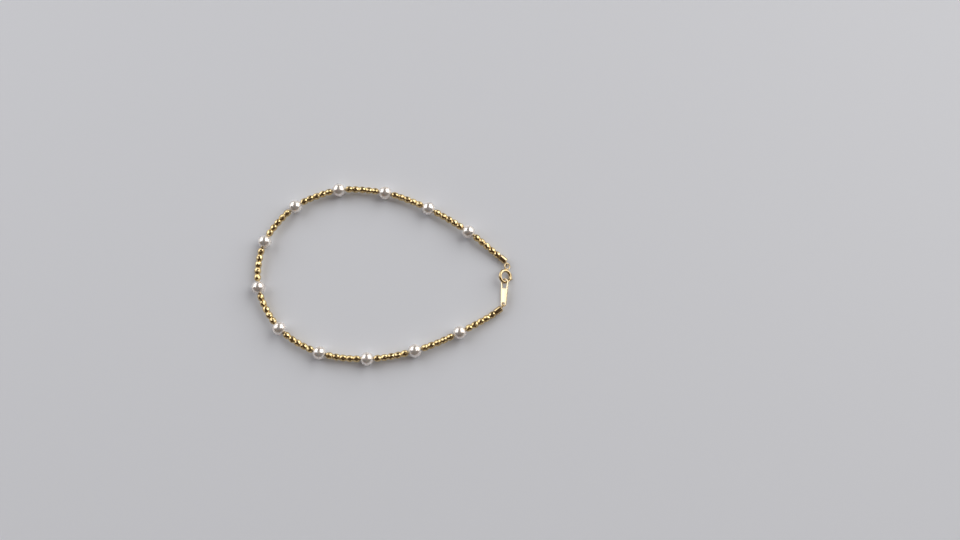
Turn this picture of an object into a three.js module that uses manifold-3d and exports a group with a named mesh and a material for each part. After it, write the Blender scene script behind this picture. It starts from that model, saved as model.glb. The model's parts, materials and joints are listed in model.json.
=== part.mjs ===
// A pearl bracelet, fastened and laid down: a strand of pearls and faceted gold beads on a
// beading wire, closed by a spring ring that holds a small tag. Millimetres, +Z up, resting on z = 0.
import * as THREE from "three";
import { mergeVertices } from "three/addons/utils/BufferGeometryUtils.js";
import Module from "manifold-3d";

// Pearls: round and drilled through along the strand
const PEARL_COUNT = 12;
const PEARL_DIAMETER = 4.0;
const PEARL_BORE = 0.8;
const PEARL_SIDES = 14;
const PEARL_BANDS = 8;

// Gold beads: faceted rounds, strung in runs and fused where their end rims press together
const BEADS_PER_RUN = 5;
const BEAD_DIAMETER = 2.0;
const BEAD_LENGTH = 2.05;
const BEAD_BELT = 0.95;
const BEAD_END_DIAMETER = 1.2;
const BEAD_BORE = 0.8;
const BEAD_RIM_OVERLAP = 0.08;
const BEAD_SIDES = 10;

// Strand: the beading wire and the slack between neighbours on it
const WIRE_DIAMETER = 0.35;
const WIRE_SIDES = 6;
const WIRE_STEPS = 80;
const STRUNG_GAP = 0.08;
const RUN_SAG = 0.3;

// End tubes: a closed tube over each end of the wire, with a soldered loop. Each loop is bent
// round to the side by the clasp's pull, as an angle seen from above.
const TUBE_DIAMETER = 2.0;
const TUBE_LENGTH = 2.2;
const TUBE_BORE = 1.4;
const TUBE_FLOOR = 0.6;
const TUBE_CHAMFER = 0.2;
const TUBE_SIDES = 12;
const WIRE_IN_TUBE = 1.2;
const LOOP_RADIUS = 0.66;
const LOOP_WIRE = 0.4;
const RING_LOOP_BEND = THREE.MathUtils.degToRad(-38);
const TAG_LOOP_BEND = THREE.MathUtils.degToRad(25);

// Spring ring: a hollow ring with a mouth, closed by a sprung bolt that runs inside it
const RING_DIAMETER = 4.4;
const RING_TUBE = 0.95;
const RING_BORE = 0.78;
const RING_TILT = THREE.MathUtils.degToRad(30);
const MOUTH_FROM = THREE.MathUtils.degToRad(-65);
const MOUTH_TO = THREE.MathUtils.degToRad(-25);
const EYELET_RADIUS = 0.86;
const EYELET_ANGLE = THREE.MathUtils.degToRad(82);
const EYELET_WIRE = 0.4;
const SOLDER_SINK = 0.12;

// Bolt: a bent pin with a thumb knob
const BOLT_DIAMETER = 0.52;
const BOLT_SEAT = THREE.MathUtils.degToRad(7);
const BOLT_TAIL = THREE.MathUtils.degToRad(19);
const BOLT_TRAVEL = THREE.MathUtils.degToRad(48);
const KNOB_FROM_MOUTH = THREE.MathUtils.degToRad(12);
const KNOB_DIAMETER = 0.36;
const KNOB_STANDS_OUT = 0.35;
const BOLT_END_ROOM = THREE.MathUtils.degToRad(5);
const KNOB_ROOM = 0.1;

// Tag: a bare tapered plate with a slot for the ring and a small hole for the end tube's loop
const TAG_LENGTH = 8.4;
const TAG_SLOT_END_WIDTH = 2.42;
const TAG_HOLE_END_WIDTH = 1.8;
const TAG_THICKNESS = 0.45;
const TAG_ROLL = THREE.MathUtils.degToRad(30);
const TAG_BEARING = THREE.MathUtils.degToRad(-93.5);
const SLOT_LENGTH = 2.6;
const SLOT_WIDTH = 1.56;
const SLOT_FOOT_WIDTH = 1.25;
const SLOT_BAR = 0.38;
const HOLE_DIAMETER = 0.95;
const HOLE_EDGE = 0.32;

// Clearances
const LINK_CLEARANCE = 0.25;
const SURFACE_CLEARANCE = 0.02;

// The strand's route seen from above, chosen by hand, from the mouth of the ring's end tube round
// to the mouth of the tag's. It is fitted to the length of what is strung on it and to the clasp.
const STRAND_ROUTE = [
  [5.4, 4.4],
  [-3.7, 11.7],
  [-15.6, 18.9],
  [-28.6, 23.8],
  [-42.7, 24.7],
  [-55.6, 19.5],
  [-64.2, 8.6],
  [-65.3, -5.2],
  [-58.5, -17.4],
  [-46.6, -24.5],
  [-32.7, -26.3],
  [-18.8, -24.0],
  [-6.0, -18.8],
  [3.4, -13.6],
  [4.6, -12.8],
];
const ROUTE_FITS = 12;

const UP = new THREE.Vector3(0, 0, 1);
const QUARTER_TURN = Math.PI / 2;
const ROUTE_DIVISIONS = 6000;

const wasm = await Module();
wasm.setup();

const finishes = {
  pearl: { color: 0xf0e9e0, roughness: 0.18, metalness: 0 },
  gold: { color: 0xd8b96c, roughness: 0.2, metalness: 1 },
  paleGold: { color: 0xe9d9a4, roughness: 0.16, metalness: 1 },
  wire: { color: 0xbfa468, roughness: 0.35, metalness: 1 },
};

// A closed three.js geometry as a solid that can be joined and cut.
function solidOf(geometry) {
  const bare = geometry.index ? geometry.toNonIndexed() : geometry.clone();
  bare.deleteAttribute("normal");
  bare.deleteAttribute("uv");
  const merged = mergeVertices(bare, 1e-5);
  return new wasm.Manifold(
    new wasm.Mesh({
      numProp: 3,
      vertProperties: merged.attributes.position.array,
      triVerts: new Uint32Array(merged.index.array),
    }),
  );
}

// The joined or cut solid as a three.js geometry.
function geometryOf(solid) {
  const mesh = solid.getMesh();
  const geometry = new THREE.BufferGeometry();
  geometry.setAttribute("position", new THREE.BufferAttribute(mesh.vertProperties, 3));
  geometry.setIndex(new THREE.BufferAttribute(mesh.triVerts, 1));
  const faceted = geometry.toNonIndexed();
  faceted.computeVertexNormals();
  return faceted;
}

function union(geometries) {
  return geometries.map(solidOf).reduce((whole, piece) => whole.add(piece));
}

function namedMesh(name, geometry, finish) {
  const mesh = new THREE.Mesh(geometry, new THREE.MeshStandardMaterial(finishes[finish]));
  mesh.name = name;
  return mesh;
}

// A circle of straight sides, as an outline to carry along a path.
function roundOutline(diameter, sides) {
  const outline = new THREE.Shape();
  for (let i = 0; i < sides; i += 1) {
    const angle = (2 * Math.PI * i) / sides;
    const x = (diameter / 2) * Math.cos(angle);
    const y = (diameter / 2) * Math.sin(angle);
    if (i === 0) outline.moveTo(x, y);
    else outline.lineTo(x, y);
  }
  return outline;
}

// A frame whose Y axis runs along a direction and whose Z axis leans as far down as it can.
function frameAlong(position, direction) {
  const y = direction.clone().normalize();
  const x = new THREE.Vector3().crossVectors(y, UP).normalize().negate();
  const z = new THREE.Vector3().crossVectors(x, y);
  return new THREE.Matrix4().makeBasis(x, y, z).setPosition(position);
}

function place(mesh, matrix) {
  matrix.decompose(mesh.position, mesh.quaternion, mesh.scale);
  return mesh;
}

// Lengths of the strung pieces, and their stations along the strand from the ring's end tube
const pearlRadius = PEARL_DIAMETER / 2;
const pearlDrilledLength = 2 * Math.sqrt(pearlRadius ** 2 - (PEARL_BORE / 2) ** 2);
const beadPitch = BEAD_LENGTH - BEAD_RIM_OVERLAP;
const runLength = BEAD_LENGTH + (BEADS_PER_RUN - 1) * beadPitch;
const pitch = runLength + 2 * STRUNG_GAP + pearlDrilledLength;
const firstRun = STRUNG_GAP + runLength / 2;
const runStations = Array.from({ length: PEARL_COUNT + 1 }, (_, i) => firstRun + i * pitch);
const pearlStations = runStations.slice(0, -1).map((station) => station + pitch / 2);
const strandLength = runStations[PEARL_COUNT] + firstRun;

// Reaches of the linked pieces: each link's wire runs through the middle of the next one's hole
const ringMeanRadius = (RING_DIAMETER - RING_TUBE) / 2;
const eyeletReach = RING_DIAMETER / 2 + EYELET_RADIUS + EYELET_WIRE / 2 - SOLDER_SINK;
const loopReach = LOOP_RADIUS + LOOP_WIRE / 2 - SOLDER_SINK;
const loopToEyelet = (LOOP_RADIUS + EYELET_RADIUS) / 2;
const tagCrossing = SLOT_BAR + LINK_CLEARANCE + RING_TUBE / 2;
const tagHole = TAG_LENGTH - HOLE_EDGE - HOLE_DIAMETER / 2;

// Heights of the centres above the surface
const tubeHeight = TUBE_DIAMETER / 2 + SURFACE_CLEARANCE;
const knobReach = RING_DIAMETER / 2 + KNOB_STANDS_OUT;
const ringHeight =
  Math.sin(RING_TILT) * knobReach +
  (Math.cos(RING_TILT) * KNOB_DIAMETER) / 2 +
  SURFACE_CLEARANCE;
const holeRise = LOOP_RADIUS / 4;
const holeHeight = tubeHeight + holeRise;
const loopToHole = Math.sqrt(LOOP_RADIUS ** 2 - holeRise ** 2);

// Spring ring axes: -Y towards the tag, X leaning down to the right, Z out of the ring's face
const tagward = new THREE.Vector3(Math.cos(TAG_BEARING), Math.sin(TAG_BEARING), 0);
const ringUpward = tagward.clone().negate();
const ringSide = new THREE.Vector3()
  .crossVectors(ringUpward, UP)
  .multiplyScalar(Math.cos(RING_TILT))
  .addScaledVector(UP, -Math.sin(RING_TILT));
const eyeletFromRing = new THREE.Vector3()
  .addScaledVector(ringSide, eyeletReach * Math.cos(EYELET_ANGLE))
  .addScaledVector(ringUpward, eyeletReach * Math.sin(EYELET_ANGLE));
const tagDrop = ringHeight - holeHeight;
const tagPlanReach = Math.sqrt((tagHole - tagCrossing) ** 2 - tagDrop ** 2);

function strandCurve(points) {
  const curve = new THREE.CatmullRomCurve3(points, false, "centripetal");
  curve.arcLengthDivisions = ROUTE_DIVISIONS;
  return curve;
}

// Where the clasp's pieces lie when they hang in a chain from the strand's first end.
function claspFrom(curve) {
  const start = curve.getPointAt(0);
  const outward = curve.getTangentAt(0).negate();
  const pulled = outward.clone().applyAxisAngle(UP, RING_LOOP_BEND);
  const eyelet = start
    .clone()
    .addScaledVector(outward, TUBE_LENGTH)
    .addScaledVector(pulled, loopReach + loopToEyelet);
  const ring = eyelet.clone().sub(eyeletFromRing).setZ(ringHeight);
  const crossing = ring.clone().addScaledVector(tagward, ringMeanRadius);
  const hole = crossing.clone().addScaledVector(tagward, tagPlanReach).setZ(holeHeight);
  return { ring, crossing, hole };
}

// The chosen route, scaled to the strand's length and drawn evenly to where the clasp ends, in
// turns until both hold.
function fittedStrand() {
  let points = STRAND_ROUTE.map(([x, y]) => new THREE.Vector3(x, y, 0));
  for (let fit = 0; fit < ROUTE_FITS; fit += 1) {
    const chosen = strandCurve(points);
    const scale = strandLength / chosen.getLength();
    points = points.map((point) => point.clone().multiplyScalar(scale));
    const scaled = strandCurve(points);
    const backward = scaled.getTangentAt(1).negate();
    const pulled = backward.clone().applyAxisAngle(UP, TAG_LOOP_BEND);
    const wanted = claspFrom(scaled)
      .hole.setZ(0)
      .addScaledVector(pulled, loopReach + loopToHole)
      .addScaledVector(backward, TUBE_LENGTH);
    const miss = wanted.sub(scaled.getPointAt(1));
    const last = points.length - 1;
    points = points.map((point, i) => point.clone().addScaledVector(miss, i / last));
  }
  return strandCurve(points);
}

const route = fittedStrand();
const clasp = claspFrom(route);

// A point of the strand seen from above, straight on past its ends into the end tubes.
function planAt(station) {
  const inside = THREE.MathUtils.clamp(station, 0, strandLength);
  const share = inside / strandLength;
  return route
    .getPointAt(share)
    .addScaledVector(route.getTangentAt(share), station - inside);
}

// The strand's height at a station: level through each pearl, a shallow sag in each run between
// pearls, and an easy slope down to the end tubes in the first and the last run.
function strandHeight(station) {
  const firstPearl = pearlStations[0];
  const lastPearl = pearlStations[PEARL_COUNT - 1];
  if (station < firstPearl || station > lastPearl) {
    const fromTube = station < firstPearl ? station : strandLength - station;
    const rise = THREE.MathUtils.smoothstep(fromTube, 0, firstPearl);
    return THREE.MathUtils.lerp(tubeHeight, pearlRadius, rise);
  }
  return pearlRadius - RUN_SAG * Math.sin((Math.PI * (station - firstPearl)) / pitch) ** 2;
}

function strandPoint(station) {
  return planAt(station).setZ(strandHeight(station));
}

// The frame of a strung piece: on the strand, turned along the chord of its own length.
function strungFrame(station, length) {
  const before = strandPoint(station - length / 2);
  const after = strandPoint(station + length / 2);
  return frameAlong(strandPoint(station), after.sub(before));
}

// A stretch of the strand as a curve, for the wire to follow.
class StrandCurve extends THREE.Curve {
  constructor(from, to) {
    super();
    this.from = from;
    this.to = to;
  }
  getPoint(share, target = new THREE.Vector3()) {
    return target.copy(strandPoint(THREE.MathUtils.lerp(this.from, this.to, share)));
  }
}

// An arc round the spring ring's centre in its own plane, for the bore and the bolt.
class RingArc extends THREE.Curve {
  constructor(from, to) {
    super();
    this.from = from;
    this.to = to;
  }
  getPoint(share, target = new THREE.Vector3()) {
    const angle = THREE.MathUtils.lerp(this.from, this.to, share);
    return target.set(
      ringMeanRadius * Math.cos(angle),
      ringMeanRadius * Math.sin(angle),
      0,
    );
  }
}

// A drilled sphere: bands of latitude from one drilled face to the other, closed by the bore.
function pearlGeometry() {
  const polar = Math.asin(PEARL_BORE / PEARL_DIAMETER);
  const profile = [];
  for (let i = 0; i <= PEARL_BANDS; i += 1) {
    const angle = THREE.MathUtils.lerp(Math.PI - polar, polar, i / PEARL_BANDS);
    profile.push(
      new THREE.Vector2(pearlRadius * Math.sin(angle), pearlRadius * Math.cos(angle)),
    );
  }
  profile.push(profile[0].clone());
  return new THREE.LatheGeometry(profile, PEARL_SIDES);
}

// The outline of a run of fused beads: a straight belt between two bevels for each, necks where
// their rims press together, and the bore back along the inside.
function runProfile() {
  const outside = [];
  const inside = [];
  for (let i = 0; i < BEADS_PER_RUN; i += 1) {
    const centre = (i - (BEADS_PER_RUN - 1) / 2) * beadPitch;
    const start = i === 0 ? -runLength / 2 : centre - beadPitch / 2;
    outside.push([BEAD_END_DIAMETER / 2, start]);
    outside.push([BEAD_DIAMETER / 2, centre - BEAD_BELT / 2]);
    outside.push([BEAD_DIAMETER / 2, centre + BEAD_BELT / 2]);
    inside.push([BEAD_BORE / 2, start]);
  }
  outside.push([BEAD_END_DIAMETER / 2, runLength / 2]);
  inside.push([BEAD_BORE / 2, runLength / 2]);
  const profile = [inside[0], ...outside, ...inside.reverse()];
  return profile.map(([radius, along]) => new THREE.Vector2(radius, along));
}

// A run of gold beads: the straight run, bent so that each of its sections sits on the strand.
function goldRun(name, station) {
  const frame = strungFrame(station, runLength);
  const toFrame = frame.clone().invert();
  const geometry = new THREE.LatheGeometry(runProfile(), BEAD_SIDES);
  const position = geometry.attributes.position;
  const vertex = new THREE.Vector3();
  for (let i = 0; i < position.count; i += 1) {
    vertex.fromBufferAttribute(position, i);
    const section = strungFrame(station + vertex.y, BEAD_LENGTH);
    vertex.setY(0).applyMatrix4(section).applyMatrix4(toFrame);
    position.setXYZ(i, vertex.x, vertex.y, vertex.z);
  }
  geometry.computeVertexNormals();
  return place(namedMesh(name, geometry, "gold"), frame);
}

function pearl(name, station) {
  return place(
    namedMesh(name, pearlGeometry(), "pearl"),
    strungFrame(station, pearlDrilledLength),
  );
}

function beadingWire() {
  const path = new StrandCurve(-WIRE_IN_TUBE, strandLength + WIRE_IN_TUBE);
  const geometry = new THREE.ExtrudeGeometry(roundOutline(WIRE_DIAMETER, WIRE_SIDES), {
    steps: WIRE_STEPS,
    extrudePath: path,
  });
  return namedMesh("beading_wire", geometry, "wire");
}

// An end tube: open towards the strand at -Y, closed at +Y, where an upright loop is soldered on
// and bent round to the side.
function endTube(name, station, outward, bend) {
  const radius = TUBE_DIAMETER / 2;
  const profile = [
    [0, TUBE_LENGTH / 2 - TUBE_FLOOR],
    [TUBE_BORE / 2, TUBE_LENGTH / 2 - TUBE_FLOOR],
    [TUBE_BORE / 2, -TUBE_LENGTH / 2],
    [radius, -TUBE_LENGTH / 2],
    [radius, TUBE_LENGTH / 2 - TUBE_CHAMFER],
    [radius - TUBE_CHAMFER, TUBE_LENGTH / 2],
    [0, TUBE_LENGTH / 2],
  ].map(([r, along]) => new THREE.Vector2(r, along));
  const tube = new THREE.LatheGeometry(profile, TUBE_SIDES);
  const loop = new THREE.TorusGeometry(LOOP_RADIUS, LOOP_WIRE / 2, 6, 16);
  loop.rotateY(QUARTER_TURN);
  loop.translate(0, loopReach, 0);
  loop.rotateZ(-bend);
  loop.translate(0, TUBE_LENGTH / 2, 0);
  const mouth = strandPoint(station);
  const direction = strandPoint(station + outward).sub(mouth);
  const centre = mouth.addScaledVector(direction, TUBE_LENGTH / 2);
  return place(
    namedMesh(name, geometryOf(union([tube, loop])), "gold"),
    frameAlong(centre, direction),
  );
}

const ringFrame = new THREE.Matrix4()
  .makeBasis(ringSide, ringUpward, new THREE.Vector3().crossVectors(ringSide, ringUpward))
  .setPosition(clasp.ring);

// A sector of a flat ring round the origin, centred on the ring's plane, for cutting.
function sector(from, to, inner, outer, width) {
  const outline = new THREE.Shape();
  outline.absarc(0, 0, outer, from, to, false);
  outline.absarc(0, 0, inner, to, from, true);
  const geometry = new THREE.ExtrudeGeometry(outline, {
    depth: width,
    bevelEnabled: false,
    curveSegments: 10,
  });
  return geometry.translate(0, 0, -width / 2);
}

function arcTube(from, to, diameter, sides, steps) {
  return new THREE.ExtrudeGeometry(roundOutline(diameter, sides), {
    steps,
    extrudePath: new RingArc(from, to),
  });
}

const knobAngle = MOUTH_TO + KNOB_FROM_MOUTH;

function springRing() {
  const eyelet = new THREE.TorusGeometry(EYELET_RADIUS, EYELET_WIRE / 2, 6, 16);
  eyelet.translate(eyeletReach, 0, 0);
  eyelet.rotateZ(EYELET_ANGLE);
  const ring = new THREE.TorusGeometry(ringMeanRadius, RING_TUBE / 2, 10, 40);
  const boreFrom = MOUTH_FROM - BOLT_SEAT - BOLT_END_ROOM;
  const boreTo = MOUTH_TO + BOLT_TAIL + BOLT_TRAVEL + BOLT_END_ROOM;
  const bore = arcTube(boreFrom, boreTo, RING_BORE, 8, 20);
  const inside = ringMeanRadius - RING_TUBE;
  const outside = ringMeanRadius + RING_TUBE;
  const mouth = sector(MOUTH_FROM, MOUTH_TO, inside, outside, 2 * RING_TUBE);
  const knobHalfAngle = (KNOB_DIAMETER / 2 + KNOB_ROOM) / ringMeanRadius;
  const knobSlot = sector(
    knobAngle - knobHalfAngle,
    knobAngle + BOLT_TRAVEL + knobHalfAngle,
    ringMeanRadius,
    outside,
    KNOB_DIAMETER + 2 * KNOB_ROOM,
  );
  const body = union([ring, eyelet])
    .subtract(solidOf(bore))
    .subtract(solidOf(mouth))
    .subtract(solidOf(knobSlot));
  return place(namedMesh("spring_ring", geometryOf(body), "gold"), ringFrame);
}

function springRingBolt() {
  const pin = arcTube(MOUTH_FROM - BOLT_SEAT, MOUTH_TO + BOLT_TAIL, BOLT_DIAMETER, 8, 14);
  const knobLength = knobReach - ringMeanRadius;
  const knob = new THREE.CylinderGeometry(KNOB_DIAMETER / 2, KNOB_DIAMETER / 2, knobLength, 8);
  knob.rotateZ(-QUARTER_TURN);
  knob.translate(ringMeanRadius + knobLength / 2, 0, 0);
  knob.rotateZ(knobAngle);
  return place(
    namedMesh("spring_ring_bolt", geometryOf(union([pin, knob])), "gold"),
    ringFrame,
  );
}

// The tag's outline from above: u runs from the slot end to the hole end, v across.
function tagOutline() {
  const slotEnd = TAG_SLOT_END_WIDTH / 2;
  const holeEnd = TAG_HOLE_END_WIDTH / 2;
  const outline = new THREE.Shape();
  outline.absarc(slotEnd, 0, slotEnd, QUARTER_TURN, 3 * QUARTER_TURN, false);
  outline.absarc(TAG_LENGTH - holeEnd, 0, holeEnd, -QUARTER_TURN, QUARTER_TURN, false);
  const slot = new THREE.Path();
  slot.absarc(
    SLOT_BAR + SLOT_WIDTH / 2,
    0,
    SLOT_WIDTH / 2,
    3 * QUARTER_TURN,
    QUARTER_TURN,
    true,
  );
  slot.lineTo(SLOT_BAR + SLOT_LENGTH, SLOT_FOOT_WIDTH / 2);
  slot.lineTo(SLOT_BAR + SLOT_LENGTH, -SLOT_FOOT_WIDTH / 2);
  slot.closePath();
  const hole = new THREE.Path();
  hole.absarc(tagHole, 0, HOLE_DIAMETER / 2, 0, 2 * Math.PI, true);
  outline.holes.push(slot, hole);
  return outline;
}

function tag() {
  const geometry = new THREE.ExtrudeGeometry(tagOutline(), {
    depth: TAG_THICKNESS,
    bevelEnabled: false,
    curveSegments: 8,
  });
  geometry.translate(-tagCrossing, 0, -TAG_THICKNESS / 2);
  const length = clasp.hole.clone().sub(clasp.crossing).normalize();
  const levelLeft = new THREE.Vector3().crossVectors(length, UP).normalize();
  const levelFace = new THREE.Vector3().crossVectors(levelLeft, length);
  const face = levelFace
    .multiplyScalar(Math.cos(TAG_ROLL))
    .addScaledVector(levelLeft, Math.sin(TAG_ROLL));
  const across = new THREE.Vector3().crossVectors(face, length);
  const frame = new THREE.Matrix4().makeBasis(length, across, face).setPosition(clasp.crossing);
  return place(namedMesh("tag", geometryOf(solidOf(geometry)), "paleGold"), frame);
}

const bracelet = new THREE.Group();
pearlStations.forEach((station, i) => {
  bracelet.add(pearl(`pearl_${String(i + 1).padStart(2, "0")}`, station));
});
runStations.forEach((station, i) => {
  bracelet.add(goldRun(`gold_run_${String(i + 1).padStart(2, "0")}`, station));
});
bracelet.add(beadingWire());
bracelet.add(endTube("ring_end_tube", 0, -1, RING_LOOP_BEND));
bracelet.add(endTube("tag_end_tube", strandLength, 1, TAG_LOOP_BEND));
bracelet.add(springRing());
bracelet.add(springRingBolt());
bracelet.add(tag());

// The part's origin: the middle of its box, on the surface that the pearls rest on.
const laidDown = new THREE.Group();
laidDown.add(bracelet);
laidDown.updateMatrixWorld(true);
const box = new THREE.Box3().setFromObject(bracelet, true);
const middle = box.getCenter(new THREE.Vector3());
bracelet.position.set(-middle.x, -middle.y, -box.min.z);

export default laidDown;
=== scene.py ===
"""A pearl bracelet, fastened and laid down on a pale surface.

Lengths are in metres. The clasp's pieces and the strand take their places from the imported
frame: its joint, its mount, and the corners of its solids."""

import json
import math

import bpy
import numpy as np
from mathutils import Matrix, Vector


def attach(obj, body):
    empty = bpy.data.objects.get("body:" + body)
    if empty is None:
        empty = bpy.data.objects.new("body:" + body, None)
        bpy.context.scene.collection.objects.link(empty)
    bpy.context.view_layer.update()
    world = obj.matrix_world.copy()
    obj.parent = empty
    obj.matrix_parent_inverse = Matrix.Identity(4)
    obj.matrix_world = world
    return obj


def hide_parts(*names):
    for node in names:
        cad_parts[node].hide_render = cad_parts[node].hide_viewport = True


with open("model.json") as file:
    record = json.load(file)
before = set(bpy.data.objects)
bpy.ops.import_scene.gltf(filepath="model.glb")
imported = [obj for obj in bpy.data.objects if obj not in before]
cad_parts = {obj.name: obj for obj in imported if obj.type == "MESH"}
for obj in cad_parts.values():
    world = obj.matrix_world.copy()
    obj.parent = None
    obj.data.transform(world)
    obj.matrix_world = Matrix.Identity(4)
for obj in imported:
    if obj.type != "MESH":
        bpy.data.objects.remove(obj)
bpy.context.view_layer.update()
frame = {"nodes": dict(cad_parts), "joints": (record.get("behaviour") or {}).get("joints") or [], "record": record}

MM = 0.001
UP = np.array([0.0, 0.0, 1.0])

# Sizes of the strung pieces, as in the solids
PEARL_DIAMETER = 4.0 * MM
PEARL_BORE = 0.8 * MM
BEADS_PER_RUN = 5
BEAD_DIAMETER = 2.0 * MM
BEAD_LENGTH = 2.05 * MM
BEAD_END_DIAMETER = 1.2 * MM
BEAD_BORE = 0.8 * MM
BEAD_PITCH = 1.97 * MM
WIRE_DIAMETER = 0.35 * MM
WIRE_IN_TUBE = 1.2 * MM

# Sizes of the clasp, as in the solids
TUBE_DIAMETER = 2.0 * MM
TUBE_LENGTH = 2.2 * MM
TUBE_BORE = 1.4 * MM
TUBE_FLOOR = 0.6 * MM
TUBE_CROWN = 0.2 * MM
LOOP_RADIUS = 0.66 * MM
LOOP_WIRE = 0.4 * MM
RING_LOOP_BEND = math.radians(-38)
TAG_LOOP_BEND = math.radians(25)
SOLDER_SINK = 0.12 * MM
RING_DIAMETER = 4.4 * MM
RING_TUBE = 0.95 * MM
RING_BORE = 0.78 * MM
EYELET_RADIUS = 0.86 * MM
EYELET_WIRE = 0.4 * MM
EYELET_ANGLE = math.radians(82)
MOUTH_FROM = math.radians(-65)
MOUTH_TO = math.radians(-25)
BOLT_DIAMETER = 0.52 * MM
BOLT_SEAT = math.radians(7)
BOLT_TAIL = math.radians(19)
BOLT_TRAVEL = math.radians(48)
KNOB_FROM_MOUTH = math.radians(12)
KNOB_DIAMETER = 0.36 * MM
KNOB_STANDS_OUT = 0.35 * MM
KNOB_ROOM = 0.1 * MM
TAG_LENGTH = 8.4 * MM
TAG_SLOT_END_WIDTH = 2.42 * MM
TAG_HOLE_END_WIDTH = 1.8 * MM
TAG_THICKNESS = 0.45 * MM
SLOT_LENGTH = 2.6 * MM
SLOT_WIDTH = 1.56 * MM
SLOT_FOOT_WIDTH = 1.25 * MM
SLOT_BAR = 0.38 * MM
HOLE_DIAMETER = 0.95 * MM
HOLE_EDGE = 0.32 * MM

# Fine forms that only the scene has. The bead's shoulder is a share of its half width, and the
# shoulder's and the belt's places are shares of its length from its middle. The pearl's two
# waves are shares of its radius.
BEAD_SIDES = 9
SHOULDER_WIDTH = 0.86
SHOULDER_PLACE = 0.36
BELT_PLACE = 0.13
FACET_EASE = 0.018 * MM
FACET_EASE_FROM = math.radians(8)
PEARL_EASE = 0.05 * MM
PEARL_EASE_DEPTH = 0.6 * PEARL_EASE
PEARL_OVAL = 0.004
PEARL_LOBES = 0.003
TUBE_EASE = 0.06 * MM
SOLDER_RADIUS = 0.34 * MM
SOLDER_HEIGHT = 0.16 * MM
BOLT_TIP_ANGLE = 0.05
KNOB_CROWN = 0.1 * MM
SLOT_FOOT_CUT = 0.1 * MM
TAG_EASE = 0.1 * MM

# How finely the lines and surfaces are divided
STRAND_STEPS = 4000
PEARL_ROWS = 49
PEARL_SIDES = 72
WIRE_ROWS = 700
WIRE_SIDES = 12
TUBE_ROUND_ROWS = 7
TUBE_SIDES = 56
LOOP_STEPS = 56
EYELET_STEPS = 64
LINK_SIDES = 18
SOLDER_ROWS = 17
SOLDER_SIDES = 24
RING_LEAD_STEPS = 2
RING_SLOT_STEPS = 32
RING_REST_STEPS = 120
SLOT_TURN_STEPS = 6
REST_TURN_STEPS = 26
BOLT_DOME_ROWS = 7
BOLT_ROWS = 40
BOLT_SIDES = 20
KNOB_ROUND_ROWS = 6
KNOB_SIDES = 24
TAG_END_POINTS = 40
TAG_SLOT_POINTS = 32
TAG_HOLE_POINTS = 40
TAG_EASE_ROWS = 2

# Each pearl's and each run's random draws start from its own number
PEARL_SEED = 100
RUN_SEED = 200

# Camera: the photograph's view, almost straight down, from a little on the -Y side
CAMERA_TILT = math.radians(12)
CAMERA_DISTANCE = 256.4 * MM
CAMERA_AIM = Vector((28.69 * MM, 0.85 * MM, 2.0 * MM))
CAMERA_LENS = 32.6
CAMERA_SENSOR = 36.0
CAMERA_NEAREST = 0.001
CAMERA_FARTHEST = 20.0

# The room: a wide floor, two soft windows on the +Y side, each with a high and a low edge given
# as x and z, and walls whose colour changes with the height of the direction looked in
FLOOR_HALF = 8.0
FLOOR_COLOUR = "#dee1e7"
FLOOR_ROUGHNESS = 0.6
WINDOWS = [
    {
        "name": "left window",
        "high": (-1.15, 2.38),
        "low": (-3.12, 0.6),
        "radiance": 2.0,
        "colour": "#fafcff",
    },
    {
        "name": "right window",
        "high": (0.95, 2.45),
        "low": (3.12, 0.55),
        "radiance": 2.8,
        "colour": "#fffefc",
    },
]
WINDOW_NEAR = 0.05
WINDOW_FAR = 4.5
HORIZON_HEIGHT = 0.03
HORIZON_COLOUR = "#d4cdc8"
WALL_HEIGHT = 0.22
WALL_COLOUR = "#4e423b"

PEARL_NAMES = sorted(name for name in frame["nodes"] if name.startswith("pearl_"))
RUN_NAMES = sorted(name for name in frame["nodes"] if name.startswith("gold_run_"))


def linear(hex_colour):
    """An sRGB hex colour as linear RGBA, by the sRGB curve."""
    parts = [int(hex_colour[i : i + 2], 16) / 255 for i in (1, 3, 5)]
    return [c / 12.92 if c <= 0.04045 else ((c + 0.055) / 1.055) ** 2.4 for c in parts] + [1.0]


def add_node(tree, kind, inputs=None):
    """A node with its inputs by name: a value, or another node's socket to link to."""
    node = tree.nodes.new(kind)
    for name, value in (inputs or {}).items():
        socket = node.inputs[name]
        if isinstance(value, bpy.types.NodeSocket):
            tree.links.new(value, socket)
        else:
            socket.default_value = value
    return node


def two_colours(tree, value, low, low_colour, high, high_colour):
    """A ramp on a value: one colour up to the low place, the other from the high place on, and
    an even change between them."""
    ramp = add_node(tree, "ShaderNodeValToRGB", {"Fac": value})
    first, second = ramp.color_ramp.elements
    first.position, first.color = low, linear(low_colour)
    second.position, second.color = high, linear(high_colour)
    return ramp.outputs["Color"]


def noise(tree, place, scale, detail):
    """Smooth noise whose patches are about one metre over the scale wide."""
    settings = {"Vector": place, "Scale": scale, "Detail": detail}
    return add_node(tree, "ShaderNodeTexNoise", settings).outputs["Fac"]


def bump(tree, height, strength, depth):
    """The surface's normal, tipped by a height whose full range is a depth in metres."""
    settings = {"Height": height, "Strength": strength, "Distance": depth}
    return add_node(tree, "ShaderNodeBump", settings).outputs["Normal"]


def new_material(name):
    """A node material with no nodes yet, and its tree."""
    material = bpy.data.materials.new(name)
    material.use_nodes = True
    material.node_tree.nodes.clear()
    return material, material.node_tree


def finish_material(tree, settings):
    """One surface shader with its settings, linked to the material's output."""
    shader = add_node(tree, "ShaderNodeBsdfPrincipled", settings)
    add_node(tree, "ShaderNodeOutputMaterial", {"Surface": shader.outputs[0]})


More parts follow.
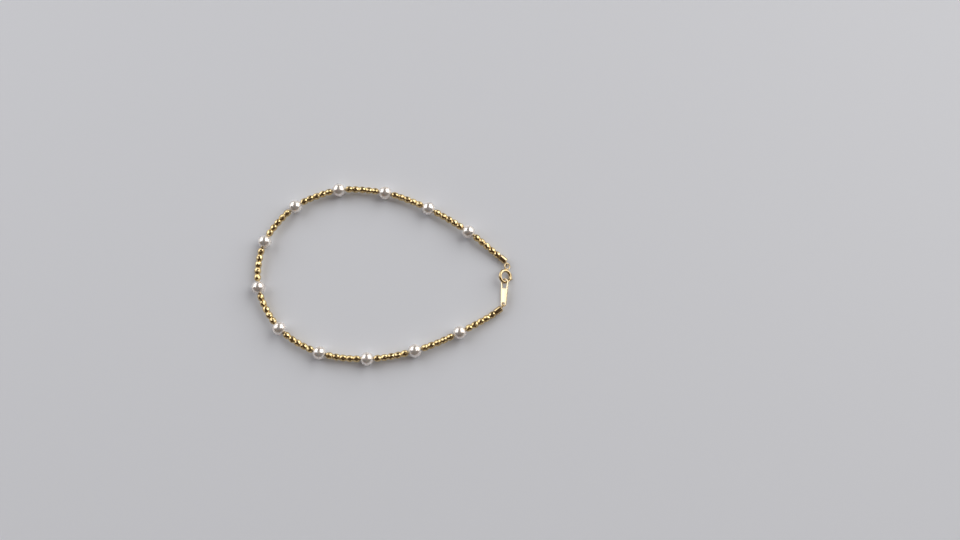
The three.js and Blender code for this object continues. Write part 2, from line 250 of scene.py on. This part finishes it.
def nacre():
    """Nacre: thin layers of shell over a round core. It mirrors its surroundings almost as metal
    does, over a milky body, with a faint change of tint in patches of 2.4 mm and a grain of
    0.4 mm."""
    material, tree = new_material("nacre")
    place = add_node(tree, "ShaderNodeTexCoord").outputs["Object"]
    clouds = noise(tree, place, 420.0, 2.0)
    grain = noise(tree, place, 2600.0, 3.0)
    finish_material(
        tree,
        {
            "Base Color": two_colours(tree, clouds, 0.3, "#ece4dc", 0.7, "#f6f1ec"),
            "Metallic": 0.62,
            "Roughness": 0.19,
            "Subsurface Weight": 0.6,
            "Subsurface Radius": (1.0, 0.88, 0.8),
            "Subsurface Scale": 1.2 * MM,
            "Normal": bump(tree, grain, 0.12, 0.02 * MM),
            "Coat Weight": 1.0,
            "Coat Roughness": 0.07,
        },
    )
    return material


def gold(name, base, worn, roughness, scale, brushed=False):
    """Gold plate: a yellow mirror with patches a little paler and smoother than the rest, about
    one metre over the scale wide, and rubbing marks nine times finer. A brushed one's patches
    and marks are drawn out to twenty times their width along Y, which is the tag's length."""
    material, tree = new_material(name)
    place = add_node(tree, "ShaderNodeTexCoord").outputs["Object"]
    if brushed:
        drawn = {"Vector": place, "Scale": (1.0, 0.05, 1.0)}
        place = add_node(tree, "ShaderNodeMapping", drawn).outputs["Vector"]
    patches = noise(tree, place, scale, 3.0)
    marks = noise(tree, place, scale * 9, 4.0)
    gloss = add_node(
        tree,
        "ShaderNodeMapRange",
        {
            "Value": patches,
            "From Min": 0.3,
            "From Max": 0.7,
            "To Min": roughness * 1.4,
            "To Max": roughness * 0.8,
        },
    )
    finish_material(
        tree,
        {
            "Base Color": two_colours(tree, patches, 0.35, worn, 0.65, base),
            "Metallic": 1.0,
            "Roughness": gloss.outputs["Result"],
            "Normal": bump(tree, marks, 0.5 if brushed else 0.15, 0.01 * MM),
        },
    )
    return material


MATERIALS = {
    "pearl": nacre(),
    "gold": gold("polished gold plate", "#e6cf9c", "#d2b884", 0.15, 900.0),
    "clasp_gold": gold("polished clasp gold plate", "#d9c299", "#c8b083", 0.15, 900.0),
    "pale_gold": gold("brushed pale gold plate", "#ecdab6", "#e3cfa6", 0.22, 900.0, brushed=True),
    "wire": gold("gold coloured beading wire", "#d8bd7c", "#b08f4e", 0.3, 1500.0),
}


def new_mesh(name, vertices, faces, smooth=True):
    """A mesh of vertices and faces, shaded smooth or flat."""
    mesh = bpy.data.meshes.new(name)
    mesh.from_pydata([tuple(v) for v in vertices], [], [tuple(f) for f in faces])
    mesh.polygons.foreach_set("use_smooth", np.full(len(mesh.polygons), smooth))
    mesh.validate()
    return mesh


def add_piece(mesh, slot, body, node, finish=None):
    """A mesh as an object at the origin, riding on a body in place of a node. Its material is
    its slot's, or a finish of its own."""
    mesh.materials.append(MATERIALS[finish or slot])
    piece = bpy.data.objects.new(mesh.name, mesh)
    bpy.context.scene.collection.objects.link(piece)
    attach(piece, body)
    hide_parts(node)
    return piece


def grid_faces(rows, columns, close_rows=False):
    """Quads between the neighbouring points of a grid whose columns close into a round, and
    whose last row meets its first where it closes too."""
    r = np.arange(rows if close_rows else rows - 1)[:, None]
    c = np.arange(columns)[None, :]
    r, c = np.broadcast_arrays(r, c)
    below = (r + 1) % rows
    beside = (c + 1) % columns
    corners = [
        r * columns + c,
        r * columns + beside,
        below * columns + beside,
        below * columns + c,
    ]
    return np.stack(corners, -1).reshape(-1, 4)


def joined(parts):
    """Several (vertices, faces) as one pair, the faces of each counted on from the last."""
    vertices, faces, count = [], [], 0
    for points, quads in parts:
        vertices.append(np.asarray(points))
        faces.extend((np.asarray(quad) + count).tolist() for quad in quads)
        count += len(points)
    return np.concatenate(vertices), faces


def turned_rows(radii, along, sides):
    """Points of a surface of revolution about Y: each (radius, height) of a profile at each
    side's angle, as radius times the angle's sine, the height, and radius times its cosine."""
    angles = np.arange(sides) * 2 * np.pi / sides
    r = np.asarray(radii)[:, None]
    y = np.broadcast_to(np.asarray(along)[:, None], (len(radii), sides))
    return np.stack([r * np.sin(angles), y, r * np.cos(angles)], -1).reshape(-1, 3)


def turned_ring(radii, along, sides):
    """A surface of revolution about Y whose profile closes on itself round a bore."""
    return turned_rows(radii, along, sides), grid_faces(len(radii), sides, close_rows=True)


def turned_solid(radii, along, sides):
    """A surface of revolution about Y whose profile starts and ends on the axis, each end closed
    by a fan about one corner on the axis."""
    rings = turned_rows(radii[1:-1], along[1:-1], sides)
    poles = [[0.0, along[0], 0.0], [0.0, along[-1], 0.0]]
    start, last = len(rings), len(rings) - sides
    faces = grid_faces(len(radii) - 2, sides).tolist()
    faces += [[start, (i + 1) % sides, i] for i in range(sides)]
    faces += [[start + 1, last + i, last + (i + 1) % sides] for i in range(sides)]
    return np.vstack([rings, poles]), faces


def swept_circle(path, tangents, radii, sides):
    """A round bar along a path: at each point a circle square to the tangent, its first spoke
    level. A fan about each end's middle closes it."""
    level = np.cross(tangents, UP)
    level /= np.linalg.norm(level, axis=1, keepdims=True)
    other = np.cross(level, tangents)
    angles = (np.arange(sides) * 2 * np.pi / sides)[None, :, None]
    spokes = level[:, None, :] * np.cos(angles) + other[:, None, :] * np.sin(angles)
    points = path[:, None, :] + spokes * np.asarray(radii)[:, None, None]
    faces = grid_faces(len(path), sides)[:, ::-1].tolist()
    vertices = np.vstack([points.reshape(-1, 3), path[:1], path[-1:]])
    first, last = len(vertices) - 2, len(vertices) - 1
    end = (len(path) - 1) * sides
    faces += [[first, i, (i + 1) % sides] for i in range(sides)]
    faces += [[last, end + (i + 1) % sides, end + i] for i in range(sides)]
    return vertices, faces


def ring_points(centre, outward, axis, radius, turns, bar_radius):
    """Points on a ring of round bar: the centre, plus the mean circle along each outward
    direction, plus the bar's own circle by its turns about the mean circle."""
    reach = radius + bar_radius * np.cos(turns)
    rise = bar_radius * np.sin(turns)
    points = outward[:, None, :] * reach[None, :, None] + axis * rise[None, :, None]
    return (centre + points).reshape(-1, 3)


def torus(centre, spoke, other, radius, bar_radius, steps):
    """A whole ring of round wire in the plane of two unit vectors."""
    u = np.arange(steps) * 2 * np.pi / steps
    v = np.arange(LINK_SIDES) * 2 * np.pi / LINK_SIDES
    outward = np.cos(u)[:, None] * spoke + np.sin(u)[:, None] * other
    points = ring_points(centre, outward, np.cross(spoke, other), radius, v, bar_radius)
    return points, grid_faces(steps, LINK_SIDES, close_rows=True)[:, ::-1]


def node_points(node):
    """The different corners of a node's solid."""
    mesh = bpy.data.objects[node].data
    points = np.empty(len(mesh.vertices) * 3)
    mesh.vertices.foreach_get("co", points)
    return np.unique(points.reshape(-1, 3).round(7), axis=0)


def smooth_line(points, shares):
    """A Catmull-Rom curve through points, at shares of its number of stretches, and its unit
    tangents. On each stretch it is the cubic through the two middle points of four, whose slope
    at each is half the step between that point's neighbours."""
    count = len(points) - 1
    spread = np.vstack([2 * points[0] - points[1], points, 2 * points[-1] - points[-2]])
    place = np.clip(shares, 0, 1) * count
    first = np.minimum(place.astype(int), count - 1)
    t = (place - first)[:, None]
    a, b, c, d = (spread[first + k] for k in range(4))
    linear_part = c - a
    square_part = 2 * a - 5 * b + 4 * c - d
    cube_part = 3 * b - a - 3 * c + d
    line = 0.5 * (2 * b + linear_part * t + square_part * t**2 + cube_part * t**3)
    slope = 0.5 * (linear_part + 2 * square_part * t + 3 * cube_part * t**2)
    return line, slope / np.linalg.norm(slope, axis=1, keepdims=True)


def strand_line():
    """The strand's centre line, read from the wire's own solid: the middle of each of its
    sections, in order from the ring's end. The corners within 1.2 wire widths of one another
    are one section's."""
    corners = node_points("beading_wire")
    reach = 1.2 * WIRE_DIAMETER
    apart = np.linalg.norm(corners[:, None] - corners[None], axis=2)
    middles = np.array([corners[row < reach].mean(0) for row in apart])
    middles = np.unique(middles.round(6), axis=0)
    at = np.argmin(np.linalg.norm(middles - RING_CENTRE, axis=1))
    order, left = [at], set(range(len(middles))) - {at}
    while left:
        rest = np.array(sorted(left))
        at = rest[np.argmin(np.linalg.norm(middles[rest] - middles[order[-1]], axis=1))]
        order.append(at)
        left.discard(at)
    return middles[order]


def arc_length(line):
    """The distance along a line of points from its first point to each."""
    return np.concatenate([[0.0], np.cumsum(np.linalg.norm(np.diff(line, axis=0), axis=1))])


# The ring's place and its own plane, from its joint: out to its side, and up along its slope
JOINT = frame["joints"][0]
RING_CENTRE = np.array(JOINT["pos_m"])
RING_AXIS = np.array(JOINT["axis"]) / np.linalg.norm(JOINT["axis"])
RING_UPWARD = np.cross(UP, RING_AXIS)
RING_UPWARD /= np.linalg.norm(RING_UPWARD)
RING_SIDE = np.cross(RING_UPWARD, RING_AXIS)
RING_MEAN_RADIUS = (RING_DIAMETER - RING_TUBE) / 2
KNOB_ANGLE = MOUTH_TO + KNOB_FROM_MOUTH

STRAND, STRAND_SLOPE = smooth_line(strand_line(), np.linspace(0, 1, STRAND_STEPS))
STRAND_REACH = arc_length(STRAND)
STRAND_LENGTH = STRAND_REACH[-1]


def strand_at(stations):
    """Places and unit tangents of the strand at distances from the wire's first end."""
    stations = np.atleast_1d(stations)
    place = np.stack([np.interp(stations, STRAND_REACH, STRAND[:, k]) for k in range(3)], -1)
    slope = np.stack([np.interp(stations, STRAND_REACH, STRAND_SLOPE[:, k]) for k in range(3)], -1)
    return place, slope / np.linalg.norm(slope, axis=1, keepdims=True)


def station_of(point):
    """The distance along the strand of its point nearest to a given one."""
    return STRAND_REACH[np.argmin(np.linalg.norm(STRAND - point, axis=1))]


def placed(vertices, centre, y_axis, roll=0.0):
    """Points made about the origin, moved to a centre with their Y axis along a direction, and
    turned about it by a roll."""
    y = y_axis / np.linalg.norm(y_axis)
    x = np.cross(y, UP)
    x /= np.linalg.norm(x)
    z = np.cross(x, y)
    turned_x = np.cos(roll) * x + np.sin(roll) * z
    turned_z = -np.sin(roll) * x + np.cos(roll) * z
    return centre + vertices @ np.stack([turned_x, y, turned_z])


def pearl_profile():
    """A drilled sphere in section: the radius times the sine and the cosine of the polar angle
    from one drilled edge to the other, then the bore's wall, with a small slope between them."""
    radius, bore = PEARL_DIAMETER / 2, PEARL_BORE / 2
    rim = math.asin((bore + PEARL_EASE) / radius)
    polar = np.linspace(math.pi - rim, rim, PEARL_ROWS)
    radii = radius * np.sin(polar)
    along = radius * np.cos(polar)
    depth = along[-1] - PEARL_EASE_DEPTH
    return np.concatenate([[bore], radii, [bore]]), np.concatenate([[-depth], along, [depth]])


def make_pearl(name, seed):
    """One pearl: the drilled sphere, its radius made uneven by two waves round the bore, one of
    two humps and one of three, each as 1 plus the cosine of its angle and a random phase."""
    rng = np.random.default_rng(seed)
    station = station_of(node_points(name).mean(0))
    centre, slope = strand_at(station)
    points, faces = turned_ring(*pearl_profile(), PEARL_SIDES)
    phase = rng.uniform(0, 2 * np.pi, 2)
    angle = np.arctan2(points[:, 2], points[:, 0])
    oval = PEARL_OVAL * (1 + np.cos(2 * angle + phase[0]))
    lobes = PEARL_LOBES * (1 + np.cos(3 * angle + phase[1]))
    points = points * (1 - oval - lobes)[:, None]
    points = placed(points, centre[0], slope[0])
    return add_piece(new_mesh(name + "_nacre", points, faces), "pearl", "bracelet", name)


def bead_rows():
    """The rows of corners of one faceted bead: radius and height of each row from rim to rim."""
    half, rim, wide = BEAD_LENGTH / 2, BEAD_END_DIAMETER / 2, BEAD_DIAMETER / 2
    shoulder, belt = SHOULDER_PLACE * BEAD_LENGTH, BELT_PLACE * BEAD_LENGTH
    narrow = SHOULDER_WIDTH * wide
    radii = np.array([rim, narrow, wide, wide, narrow, rim])
    heights = np.array([-half, -shoulder, -belt, belt, shoulder, half])
    return radii, heights


def bead():
    """One faceted bead about Y: rows of corners, each row turned half a side from the last, with
    flat three-cornered facets between them, and a bore from rim to rim. A corner is its row's
    radius times the sine and the cosine of its angle, at its row's height."""
    radii, heights = bead_rows()
    rows = len(radii)
    step = 2 * np.pi / BEAD_SIDES
    i = np.arange(BEAD_SIDES)
    j = (i + 1) % BEAD_SIDES
    angles = (i[None, :] + 0.5 * (np.arange(rows)[:, None] % 2)) * step
    x = radii[:, None] * np.sin(angles)
    z = radii[:, None] * np.cos(angles)
    y = np.broadcast_to(heights[:, None], x.shape)
    outside = np.stack([x, y, z], -1).reshape(-1, 3)
    faces = []
    for k in range(rows - 1):
        low, high = k * BEAD_SIDES, (k + 1) * BEAD_SIDES
        if k % 2 == 0:
            faces.append(np.stack([low + i, low + j, high + i], -1))
            faces.append(np.stack([low + j, high + j, high + i], -1))
        else:
            faces.append(np.stack([low + i, high + j, high + i], -1))
            faces.append(np.stack([low + i, low + j, high + j], -1))

    bore = BEAD_BORE / 2
    last = (rows - 1) * BEAD_SIDES
    low, high = len(outside), len(outside) + BEAD_SIDES
    walls = [
        np.stack([bore * np.sin(a), np.full(BEAD_SIDES, end), bore * np.cos(a)], -1)
        for a, end in ((angles[0], heights[0]), (angles[-1], heights[-1]))
    ]
    faces.append(np.stack([i, low + i, j], -1))
    faces.append(np.stack([j, low + i, low + j], -1))
    faces.append(np.stack([last + i, last + j, high + i], -1))
    faces.append(np.stack([last + j, high + j, high + i], -1))
    faces.append(np.stack([low + i, high + i, low + j], -1))
    faces.append(np.stack([low + j, high + i, high + j], -1))
    return np.vstack([outside, *walls]), np.concatenate(faces)


def make_run(name, station, seed):
    """A run of faceted beads a pitch apart on the strand, each turned about it by its own random
    angle, with the edges between facets eased."""
    rng = np.random.default_rng(seed)
    offsets = (np.arange(BEADS_PER_RUN) - (BEADS_PER_RUN - 1) / 2) * BEAD_PITCH
    centres, slopes = strand_at(station + offsets)
    points, faces = bead()
    parts = [
        (placed(points, centre, slope, rng.uniform(0, 2 * np.pi)), faces)
        for centre, slope in zip(centres, slopes)
    ]
    mesh = new_mesh(name + "_facets", *joined(parts), smooth=False)
    piece = add_piece(mesh, "gold", "bracelet", name)
    bevel = piece.modifiers.new("edges", "BEVEL")
    bevel.width = FACET_EASE
    bevel.segments = 1
    bevel.limit_method = "ANGLE"
    bevel.angle_limit = FACET_EASE_FROM
    return piece


def make_wire():
    """The beading wire: a round line along the whole strand, from inside one end tube to inside
    the other."""
    path, slopes = strand_at(np.linspace(0, STRAND_LENGTH, WIRE_ROWS))
    radii = np.full(WIRE_ROWS, WIRE_DIAMETER / 2)
    mesh = new_mesh("beading_wire_line", *swept_circle(path, slopes, radii, WIRE_SIDES))
    return add_piece(mesh, "wire", "bracelet", "beading_wire")


def make_end_tube(name, station, outward, bend):
    """An end tube: a turned cup, open to the strand, whose edges are quarter rounds, and an
    upright loop of round wire bent to one side of its closed end, on a small dome of solder. The
    dome is an ellipsoid: its radius times the polar angle's sine, its height times the cosine."""
    mouth, slope = strand_at(station)
    axis = slope[0] * outward
    outer, bore = TUBE_DIAMETER / 2, TUBE_BORE / 2
    floor = TUBE_LENGTH - TUBE_FLOOR
    quarter = np.linspace(0, np.pi / 2, TUBE_ROUND_ROWS)
    radii = np.concatenate(
        [
            [0.0, bore, bore, bore + TUBE_EASE],
            outer - TUBE_EASE + TUBE_EASE * np.sin(quarter),
            outer - TUBE_CROWN + TUBE_CROWN * np.cos(quarter),
            [0.0],
        ]
    )
    along = np.concatenate(
        [
            [floor, floor, TUBE_EASE, 0.0],
            TUBE_EASE - TUBE_EASE * np.cos(quarter),
            TUBE_LENGTH - TUBE_CROWN + TUBE_CROWN * np.sin(quarter),
            [TUBE_LENGTH],
        ]
    )
    cup, cup_faces = turned_solid(radii, along, TUBE_SIDES)
    closed_end = mouth[0] + axis * TUBE_LENGTH
    pulled = math.cos(bend) * axis + math.sin(bend) * np.cross(UP, axis)
    centre = closed_end + pulled * (LOOP_RADIUS + LOOP_WIRE / 2 - SOLDER_SINK)
    polar = np.linspace(np.pi, 0, SOLDER_ROWS)
    dome, dome_faces = turned_solid(
        SOLDER_RADIUS * np.sin(polar), SOLDER_HEIGHT * np.cos(polar), SOLDER_SIDES
    )
    parts = [
        (placed(cup, mouth[0], axis), cup_faces),
        torus(centre, pulled, UP, LOOP_RADIUS, LOOP_WIRE / 2, LOOP_STEPS),
        (placed(dome, closed_end, axis), dome_faces),
    ]
    mesh = new_mesh(name + "_turned", *joined(parts))
    return add_piece(mesh, "gold", "bracelet", name, finish="clasp_gold")


def ring_outward(angles):
    """Unit vectors in the ring's plane: the angle's cosine to its side and its sine upward."""
    angles = np.asarray(angles)[:, None]
    return np.cos(angles) * RING_SIDE + np.sin(angles) * RING_UPWARD


def on_ring(angles, radius):
    """Points round the ring's centre in its own plane."""
    return RING_CENTRE + radius * ring_outward(angles)


def ring_surface(angles, turns, diameter):
    """A tube round the ring's mean circle, at each angle and each turn."""
    outward = ring_outward(angles)
    return ring_points(RING_CENTRE, outward, RING_AXIS, RING_MEAN_RADIUS, turns, diameter / 2)


def make_spring_ring():
    """The ring: an outer and an inner tube surface from one side of the mouth round to the other,
    with the knob's slot left out of both and every open edge closed by a wall, and the eyelet."""
    half_slot = KNOB_DIAMETER / 2 + KNOB_ROOM
    slot_turn = math.asin(half_slot / (RING_TUBE / 2))
    slot_angle = half_slot / RING_MEAN_RADIUS
    slot_from, slot_to = KNOB_ANGLE - slot_angle, KNOB_ANGLE + BOLT_TRAVEL + slot_angle
    angles = np.concatenate(
        [
            np.linspace(MOUTH_TO, slot_from, RING_LEAD_STEPS + 1)[:-1],
            np.linspace(slot_from, slot_to, RING_SLOT_STEPS + 1)[:-1],
            np.linspace(slot_to, MOUTH_FROM + 2 * np.pi, RING_REST_STEPS + 1),
        ]
    )
    turns = np.concatenate(
        [
            np.linspace(-slot_turn, slot_turn, SLOT_TURN_STEPS + 1)[:-1],
            np.linspace(slot_turn, 2 * np.pi - slot_turn, REST_TURN_STEPS + 1)[:-1],
        ]
    )
    rows, columns = len(angles), len(turns)
    row = np.arange(rows - 1)[:, None]
    column = np.arange(columns)[None, :]
    beside_slot = (row >= RING_LEAD_STEPS) & (row < RING_LEAD_STEPS + RING_SLOT_STEPS)
    in_slot = (beside_slot & (column < SLOT_TURN_STEPS)).reshape(-1)
    count = rows * columns
    outer = grid_faces(rows, columns)[:, ::-1][~in_slot]
    inner = outer[:, ::-1] + count

    # A wall closes each edge of a face that no other face has in the other direction
    edges = np.concatenate([outer[:, [k, (k + 1) % 4]] for k in range(4)])
    forward = edges[:, 0] * count + edges[:, 1]
    backward = edges[:, 1] * count + edges[:, 0]
    a, b = edges[~np.isin(backward, forward)].T
    walls = np.stack([b, a, a + count, b + count], -1)

    shell = np.vstack(
        [ring_surface(angles, turns, RING_TUBE), ring_surface(angles, turns, RING_BORE)]
    )
    reach = RING_DIAMETER / 2 + EYELET_RADIUS + EYELET_WIRE / 2 - SOLDER_SINK
    centre = on_ring([EYELET_ANGLE], reach)[0]
    eyelet = torus(centre, RING_SIDE, RING_UPWARD, EYELET_RADIUS, EYELET_WIRE / 2, EYELET_STEPS)
    parts = [(shell, np.concatenate([outer, inner, walls])), eyelet]
    mesh = new_mesh("spring_ring_shell", *joined(parts))
    return add_piece(mesh, "gold", "bracelet", "spring_ring", finish="clasp_gold")


def make_bolt():
    """The bolt: a bent round pin on the ring's mean circle, whose ends are domes by the sine and
    cosine of an angle from the tip, and a thumb knob with an eased top that stands out of the
    slot."""
    first, last = MOUTH_FROM - BOLT_SEAT, MOUTH_TO + BOLT_TAIL
    radius = BOLT_DIAMETER / 2
    inset = radius / RING_MEAN_RADIUS
    dome = np.linspace(BOLT_TIP_ANGLE, np.pi / 2, BOLT_DOME_ROWS + 1)[:-1]
    in_from_tip = inset * (1 - np.cos(dome))
    dome_radii = radius * np.sin(dome)
    shaft = np.linspace(first + inset, last - inset, BOLT_ROWS)
    angles = np.concatenate([first + in_from_tip, shaft, (last - in_from_tip)[::-1]])
    radii = np.concatenate([dome_radii, np.full(BOLT_ROWS, radius), dome_radii[::-1]])
    path = on_ring(angles, RING_MEAN_RADIUS)
    slopes = ring_outward(angles + np.pi / 2)
    pin = swept_circle(path, slopes, radii, BOLT_SIDES)

    stand = RING_DIAMETER / 2 + KNOB_STANDS_OUT - RING_MEAN_RADIUS
    quarter = np.linspace(0, np.pi / 2, KNOB_ROUND_ROWS)
    wide = KNOB_DIAMETER / 2
    radii = np.concatenate([[0.0, wide], wide - KNOB_CROWN + KNOB_CROWN * np.cos(quarter), [0.0]])
    along = np.concatenate(
        [[0.0, 0.0], stand - KNOB_CROWN + KNOB_CROWN * np.sin(quarter), [stand]]
    )
    knob, knob_faces = turned_solid(radii, along, KNOB_SIDES)
    direction = ring_outward([KNOB_ANGLE])[0]
    knob = placed(knob, on_ring([KNOB_ANGLE], RING_MEAN_RADIUS)[0], direction)
    mesh = new_mesh("spring_ring_bolt_pin", *joined([pin, (knob, knob_faces)]))
    return add_piece(mesh, "gold", "clasp_bolt", "spring_ring_bolt", finish="clasp_gold")


def arc_points(centre, radius, start, end, count):
    """Points of an arc in the plane: the centre's x plus the radius times the angle's cosine,
    and the radius times its sine."""
    angles = np.linspace(start, end, count)
    return np.stack([centre + radius * np.cos(angles), radius * np.sin(angles)], -1)


def tag_outlines():
    """The tag from above, from the slot end to the hole end: its round-ended taper, the tapered
    slot with cut corners at its foot, and the small hole."""
    slot_end, hole_end = TAG_SLOT_END_WIDTH / 2, TAG_HOLE_END_WIDTH / 2
    quarter = math.pi / 2
    plate = np.vstack(
        [
            arc_points(slot_end, slot_end, quarter, 3 * quarter, TAG_END_POINTS),
            arc_points(TAG_LENGTH - hole_end, hole_end, -quarter, quarter, TAG_END_POINTS),
        ]
    )
    top, half = SLOT_BAR + SLOT_WIDTH / 2, SLOT_WIDTH / 2
    foot, foot_half = SLOT_BAR + SLOT_LENGTH, SLOT_FOOT_WIDTH / 2
    slot = np.vstack(
        [
            arc_points(top, half, quarter, 3 * quarter, TAG_SLOT_POINTS),
            [[foot - SLOT_FOOT_CUT, -foot_half], [foot, -foot_half + SLOT_FOOT_CUT]],
            [[foot, foot_half - SLOT_FOOT_CUT], [foot - SLOT_FOOT_CUT, foot_half]],
        ]
    )
    hole_at = TAG_LENGTH - HOLE_EDGE - HOLE_DIAMETER / 2
    hole = arc_points(hole_at, HOLE_DIAMETER / 2, 0, 2 * math.pi, TAG_HOLE_POINTS + 1)[:-1]
    return plate, slot, hole


def tag_frame():
    """The tag's place, read from its mount and its own solid: the middle of its slot end, and
    its directions along to the hole end, across, and out of its face. Its length is the longest
    spread of its solid's corners, made square to the face."""
    face = np.array(frame["record"]["mounts"][0]["axis"])
    face /= np.linalg.norm(face)
    corners = node_points("tag")
    along = np.linalg.svd(corners - corners.mean(0), full_matrices=False)[2][0]
    along -= face * along.dot(face)
    along /= np.linalg.norm(along)
    if along[1] > 0:
        along = -along
    across = np.cross(face, along)
    reaches = corners @ np.stack([along, across, face], -1)
    low, high = reaches.min(0), reaches.max(0)
    start = along * low[0] + across * (low[1] + high[1]) / 2 + face * (low[2] + high[2]) / 2
    return start, along, across, face


def make_tag():
    """The tag: a flat plate between its outlines, with eased edges."""
    curve = bpy.data.curves.new("tag outline", "CURVE")
    curve.dimensions = "2D"
    curve.fill_mode = "BOTH"
    curve.extrude = TAG_THICKNESS / 2 - TAG_EASE
    curve.bevel_depth = TAG_EASE
    curve.bevel_resolution = TAG_EASE_ROWS
    curve.offset = -TAG_EASE
    for outline in tag_outlines():
        spline = curve.splines.new("POLY")
        spline.points.add(len(outline) - 1)
        spline.points.foreach_set("co", np.pad(outline, ((0, 0), (0, 2))).reshape(-1))
        spline.use_cyclic_u = True
    flat = bpy.data.objects.new("tag outline", curve)
    bpy.context.scene.collection.objects.link(flat)
    bpy.context.view_layer.update()
    evaluated = flat.evaluated_get(bpy.context.evaluated_depsgraph_get())
    mesh = bpy.data.meshes.new_from_object(evaluated)
    bpy.data.objects.remove(flat)
    start, along, across, face = tag_frame()
    points = np.empty(len(mesh.vertices) * 3)
    mesh.vertices.foreach_get("co", points)
    place = start + points.reshape(-1, 3) @ np.stack([along, across, face])
    mesh.vertices.foreach_set("co", place.reshape(-1))
    mesh.materials.clear()
    mesh.name = "tag_plate"
    mesh.update()
    return add_piece(mesh, "pale_gold", "bracelet", "tag")


def make_floor():
    """The surface: a wide pale grey matt sheet at z = 0."""
    material, tree = new_material("pale matt laminate")
    finish_material(tree, {"Base Color": linear(FLOOR_COLOUR), "Roughness": FLOOR_ROUGHNESS})
    half = FLOOR_HALF
    corners = [(-half, -half, 0.0), (half, -half, 0.0), (half, half, 0.0), (-half, half, 0.0)]
    mesh = bpy.data.meshes.new("surface")
    mesh.from_pydata(corners, [], [(0, 1, 2, 3)])
    mesh.materials.append(material)
    floor = bpy.data.objects.new("surface", mesh)
    bpy.context.scene.collection.objects.link(floor)


def make_window(name, high, low, radiance, colour):
    """A rectangular soft light, facing the bracelet, whose two long edges run along Y: one high
    up and one low. Its power is its radiance times pi times its area."""
    high, low = np.array(high), np.array(low)
    slant = low - high
    width = np.linalg.norm(slant)
    length = WINDOW_FAR - WINDOW_NEAR
    middle = (high + low) / 2
    normal = np.array([-slant[1], slant[0]]) / width
    if normal @ middle > 0:
        normal = -normal
    light = bpy.data.lights.new(name, "AREA")
    light.shape = "RECTANGLE"
    light.size = width
    light.size_y = length
    light.energy = radiance * math.pi * width * length
    light.color = linear(colour)[:3]
    lamp = bpy.data.objects.new(name, light)
    across = np.array([slant[0], 0.0, slant[1]]) / width
    facing = np.array([normal[0], 0.0, normal[1]])
    along = np.cross(-facing, across)
    place = np.array([middle[0], (WINDOW_NEAR + WINDOW_FAR) / 2, middle[1]])
    turned = np.stack([across, along, -facing, place], -1)
    lamp.matrix_world = Matrix([*turned.tolist(), [0.0, 0.0, 0.0, 1.0]])
    bpy.context.scene.collection.objects.link(lamp)


def make_room():
    """The walls: bright at the horizon and dim and warm above it, by the sine of the height."""
    world = bpy.data.worlds.new("room")
    world.use_nodes = True
    tree = world.node_tree
    direction = add_node(tree, "ShaderNodeTexCoord").outputs["Generated"]
    height = add_node(tree, "ShaderNodeSeparateXYZ", {"Vector": direction}).outputs["Z"]
    walls = two_colours(tree, height, HORIZON_HEIGHT, HORIZON_COLOUR, WALL_HEIGHT, WALL_COLOUR)
    tree.links.new(walls, tree.nodes["Background"].inputs["Color"])
    bpy.context.scene.world = world


def make_camera():
    """The camera: above the surface, tipped a little towards -Y, with no shift and no blur."""
    data = bpy.data.cameras.new("camera")
    data.lens = CAMERA_LENS
    data.sensor_width = CAMERA_SENSOR
    data.clip_start = CAMERA_NEAREST
    data.clip_end = CAMERA_FARTHEST
    camera = bpy.data.objects.new("camera", data)
    back = Vector((0.0, -math.sin(CAMERA_TILT), math.cos(CAMERA_TILT)))
    camera.location = CAMERA_AIM + back * CAMERA_DISTANCE
    camera.rotation_euler = (CAMERA_TILT, 0.0, 0.0)
    bpy.context.scene.collection.objects.link(camera)
    bpy.context.scene.camera = camera


make_camera()
make_floor()
for window in WINDOWS:
    make_window(**window)
make_room()
bpy.context.scene.view_settings.view_transform = "Standard"

# The runs lie halfway between the pearls, and one before the first and one after the last
pearl_stations = [station_of(node_points(name).mean(0)) for name in PEARL_NAMES]
pearl_pitch = (pearl_stations[-1] - pearl_stations[0]) / (len(pearl_stations) - 1)
run_stations = [station - pearl_pitch / 2 for station in pearl_stations]
run_stations.append(pearl_stations[-1] + pearl_pitch / 2)
for i, name in enumerate(PEARL_NAMES):
    make_pearl(name, PEARL_SEED + i)
for i, (name, station) in enumerate(zip(RUN_NAMES, run_stations)):
    make_run(name, station, RUN_SEED + i)
make_wire()
make_end_tube("ring_end_tube", WIRE_IN_TUBE, -1, RING_LOOP_BEND)
make_end_tube("tag_end_tube", STRAND_LENGTH - WIRE_IN_TUBE, 1, TAG_LOOP_BEND)
make_spring_ring()
make_bolt()
make_tag()
